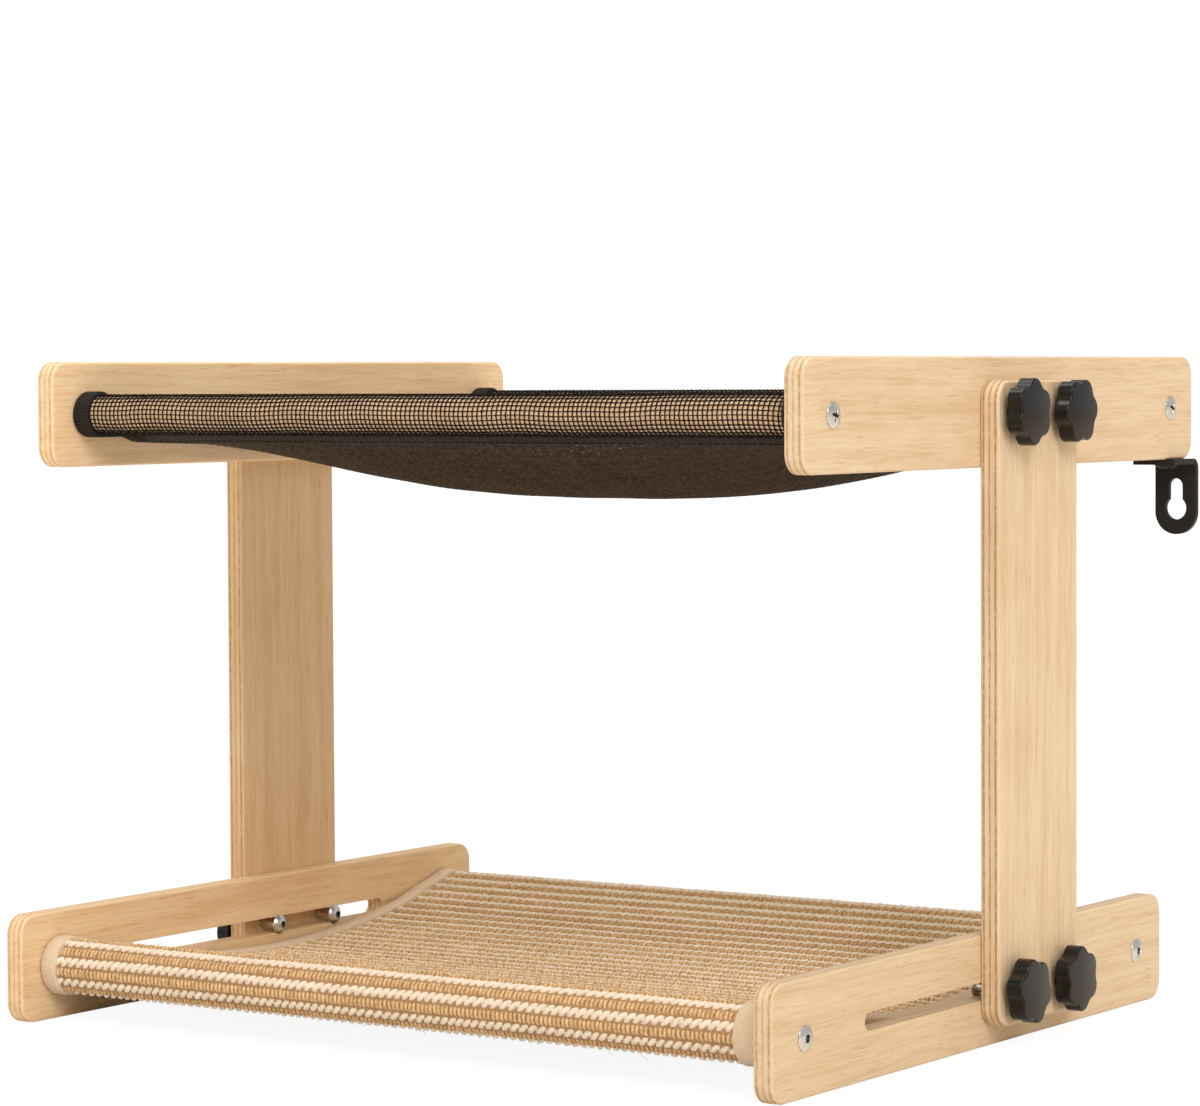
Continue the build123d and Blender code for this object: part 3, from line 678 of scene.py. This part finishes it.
# A two-ply rope is a tube with a waisted ring that turns once a lay as it goes along.
# On the top of the mat it sinks between its neighbours.
def ropeRows(rows):
    lay = 8.2
    steps = 344
    x = np.linspace(-mat["rowHalf"], mat["rowHalf"], steps)
    count = len(rows)
    sway = 0.22 * np.sin(x / 23 + random.uniform(0, 6, (count, 1)))
    inward = np.clip((140 - np.abs(rowPlace[rows, 0] - mat["middle"])) / 50, 0, 1)
    sunk = np.where(rowAhead[rows, 0] > 0, -0.5 * inward, 0.0)[:, None]
    sunk = sunk + random.normal(0, 0.06, (count, steps))
    paths = rowPaths(rows, x, sway + 0 * sunk, sunk)
    ring = np.array([(2.34, 0.0), (2.00, 1.16), (1.00, 1.74), (0.0, 1.16), (-1.00, 1.74),
                     (-2.00, 1.16), (-2.34, 0.0), (-2.00, -1.16), (-1.00, -1.74), (0.0, -1.16),
                     (1.00, -1.74), (2.00, -1.16)])
    turn = 2 * pi * x / lay + random.uniform(0, 2 * pi, (count, 1))
    turn = turn + 0.8 * np.sin(x / 13 + random.uniform(0, 6, (count, 1)))
    cosine = np.cos(turn)[..., None]
    sine = np.sin(turn)[..., None]
    rings = np.stack([ring[:, 0] * cosine - ring[:, 1] * sine, ring[:, 0] * sine + ring[:, 1] * cosine], -1)
    up = np.zeros((count, 1, 3))
    up[..., 1:] = rowOut[rows][:, None]
    return sweep(paths, up, rings, random.random(count))


# A sisal row is a strand wound round the mat's ground in a close coil that leans.
def coilRows(rows):
    turns = 172
    perTurn = 6
    steps = turns * perTurn + 1
    count = len(rows)
    angle = np.arange(steps) * 2 * pi / perTurn
    uneven = 0.35 * np.sin(np.arange(steps) / 31 + random.uniform(0, 6, (count, 1)))
    x = np.linspace(-mat["rowHalf"], mat["rowHalf"], steps) + 0.45 * np.cos(angle) + uneven
    x = x + 0.10 * np.sin(angle / 2)
    x = np.clip(x + random.normal(0, 0.10, (count, steps)), -mat["rowHalf"], mat["rowHalf"])
    unevenness = 0.14
    reach = 1.78 + unevenness * random.normal(0, 1, (count, steps)).clip(-1.5, 1.5)
    height = 1.50 + unevenness * random.normal(0, 1, (count, steps)).clip(-1.5, 1.5)
    paths = rowPaths(rows, x, reach * np.cos(angle), height * np.sin(angle))
    up = np.zeros((count, steps, 3))
    up[..., 0] = 1.0
    return sweep(paths, up, roundRing(0.79, 5), random.random(count))


groundSteps = 170
groundLine = spaced(middleLine, groundSteps) + [mat["middle"], 0]
groundPath = np.concatenate([np.zeros((groundSteps, 1)), groundLine], axis=1)
groundRing = padRing(2 * mat["rowHalf"], 2.2, 0.9)
up = unit(np.cross(np.gradient(groundPath, axis=0), [1.0, 0, 0]))
ground = piece("MatGround", sweep(groundPath[None], up[None], groundRing), "core",
               "lower_frame", ["sisal_mat"])
# Ropes and coils take turns along the mat, each kind split into a few pieces.
for name, rowShapes, look, start, split in (("MatRope", ropeRows, "cream", 0, 3),
                                            ("MatSisal", coilRows, "sisal", 1, 4)):
    for part, rows in enumerate(np.array_split(np.arange(start, 2 * pairs, 2), split)):
        shape = rowShapes(rows)
        piece(f"{name}{part + 1}", shape, look, "lower_frame")


# Loose fibres stand off the yarns, each a short bent hair.
def hairs(count):
    rows = random.integers(0, 2 * pairs, count)
    start = random.uniform(-mat["rowHalf"] + 6, mat["rowHalf"] - 18, count)
    lean = random.uniform(-1, 1, (count, 3))
    reach = random.uniform(1.5, 4.0, count)
    paths = np.empty((count, 4, 3))
    for step in range(4):
        share = step / 3
        side = 1.6 * lean[:, 0] + reach * 0.6 * lean[:, 1] * share
        rise = 1.9 + (0.55 + 0.35 * lean[:, 2]) * reach * share * (1.2 - 0.5 * share)
        paths[:, step, 0] = start + reach * lean[:, 2] * share
        paths[:, step, 1:] = (rowPlace[rows] + rowAhead[rows] * side[:, None]
                              + rowOut[rows] * rise[:, None])
    return sweep(paths, (0.03, 1.0, 0.02), roundRing(0.07, 3), random.random(count))


fibreCount = 3200
piece("MatFibres", hairs(fibreCount), "sisal", "lower_frame")
print("mat woven")

# Beige binding folded over the mat's side edges, drawn in beside the slots.
bindingSteps = 260
ringPoints = 12
for side, sign, wide in (("Right", 1, mat["rightTape"]), ("Left", -1, mat["leftTape"])):
    line = spaced(middleLine, bindingSteps) + [mat["middle"], 0]
    pastWaist = np.maximum(mat["waistFrom"] - line[:, 0], line[:, 0] - mat["waistTo"])
    flare = np.clip(pastWaist / mat["waistTaper"], 0, 1)
    outer = mat["waistEdge"] + (mat["edge"] - mat["waistEdge"]) * flare
    path = np.concatenate([(sign * (outer - wide / 2))[:, None], line], axis=1)
    ahead = np.gradient(line, axis=0)
    out = unit(np.stack([-ahead[:, 1], ahead[:, 0]], -1))
    up = np.concatenate([np.zeros((bindingSteps, 1)), out], axis=1)
    # Inwards the binding is thin round the rods and on the tails, and full along the open top.
    onTop = np.clip((138.0 - np.abs(line[:, 0] - mat["middle"])) / 6.0, 0, 1) * (ahead[:, 0] > 0)
    inner = 1.85 + 0.95 * onTop
    rings = np.broadcast_to(padRing(wide, 2.0, 0.9), (bindingSteps, ringPoints, 2)).copy()
    low = rings[..., 1] < 0
    rings[..., 1] += np.where(low, -(inner[:, None] - 1.0), 1.85)
    tape = piece("MatTape" + side, sweep(path[None], up[None], rings[None]), "beige",
                 "lower_frame", ["mat_edge_tape_" + side.lower()])
print("mat bound")

# Camera, at the place that lines the rails up with the photograph.
camera = bpy.data.objects.new("Camera", bpy.data.cameras.new("Camera"))
scene.collection.objects.link(camera)
scene.camera = camera
camera.data.lens = 123.42
camera.data.sensor_width = 36.0
cameraPlace = (1.0111, -1.5143, 0.2802)
heading = radians(33.88)
downward = radians(2.48)
roll = radians(-0.30)
camera.matrix_world = (Matrix.Translation(cameraPlace) @ Matrix.Rotation(heading, 4, "Z")
                       @ Matrix.Rotation(pi / 2 - downward, 4, "X") @ Matrix.Rotation(roll, 4, "Z"))
camera.data.clip_end = 60.0


def lamp(name, place, target, size, power):
    light = bpy.data.lights.new(name, "AREA")
    light.shape = "DISK"
    light.size = size
    light.energy = power
    made = bpy.data.objects.new(name, light)
    scene.collection.objects.link(made)
    made.location = place
    made.rotation_euler = (Vector(target) - Vector(place)).to_track_quat("-Z", "Y").to_euler()


aim = (0.0, 0.0, 0.15)
lamp("KeyLight", (3.8, -3.0, 3.6), aim, 3.0, 150.0)
lamp("TopLight", (-0.5, 0.2, 4.4), aim, 3.6, 84.0)
lamp("FrontLight", (-1.4, -4.6, 1.6), aim, 3.4, 20.0)

# White all round for what the camera and reflections see, softer for the light it gives.
world = bpy.data.worlds.new("World")
scene.world = world
world.use_nodes = True
sky = Shade(world.node_tree)
rays = sky.node("LightPath", {}, {}).socket.node.outputs
glossy = Shade(sky.tree, rays["Is Glossy Ray"])
direct = Shade(sky.tree, rays["Is Camera Ray"])
through = Shade(sky.tree, rays["Is Transmission Ray"])
seen = sky.math("MAXIMUM", direct, through)
white = sky.math("MAXIMUM", seen, glossy)
background = world.node_tree.nodes["Background"]
tinted = sky.mix(white, rgb(1.0, 0.785, 0.535), rgb(1.0, 1.0, 1.0))
world.node_tree.links.new(tinted.socket, background.inputs["Color"])
strength = 0.70 + seen * 0.32 - glossy * 0.10
world.node_tree.links.new(strength.socket, background.inputs["Strength"])

# For the camera the floor glows white, with a little of its lit face near the object.
floorHalf = 20
floorLevel = -0.0006
floorMesh = bpy.data.meshes.new("Floor")
floorCorners = [(floorHalf * signX, floorHalf * signY, floorLevel)
                for signX, signY in ((-1, -1), (1, -1), (1, 1), (-1, 1))]
floorMesh.from_pydata(floorCorners, [], [(0, 1, 2, 3)])
floor = bpy.data.objects.new("Floor", floorMesh)
scene.collection.objects.link(floor)
floorLook = bpy.data.materials.new("FloorWhite")
floorLook.use_nodes = True
tree = floorLook.node_tree
tree.nodes.remove(tree.nodes["Principled BSDF"])
floorShade = Shade(tree)
floorRays = floorShade.node("LightPath", {}, {}).socket.node.outputs
diffuse = floorShade.node("BsdfDiffuse", {}, {"Color": rgb(0.86, 0.86, 0.86)})
glow = floorShade.node("Emission", {}, {"Color": rgb(1.0, 1.0, 1.0), "Strength": 1.08})
spot = parts(floorShade, position(floorShade))
away = floorShade.math("SQRT", spot[0] * spot[0] + spot[1] * spot[1])
clear = Shade(tree, floorRays["Is Camera Ray"]) * away.ramp(0.15, 0.60, 0.85, 1.0)
mixed = floorShade.node("MixShader", {}, {0: clear, 1: diffuse, 2: glow})
tree.links.new(mixed.socket, tree.nodes["Material Output"].inputs["Surface"])
floorMesh.materials.append(floorLook)
scene.view_settings.view_transform = "Standard"
print("camera and lamps set")

bpy.context.view_layer.update()
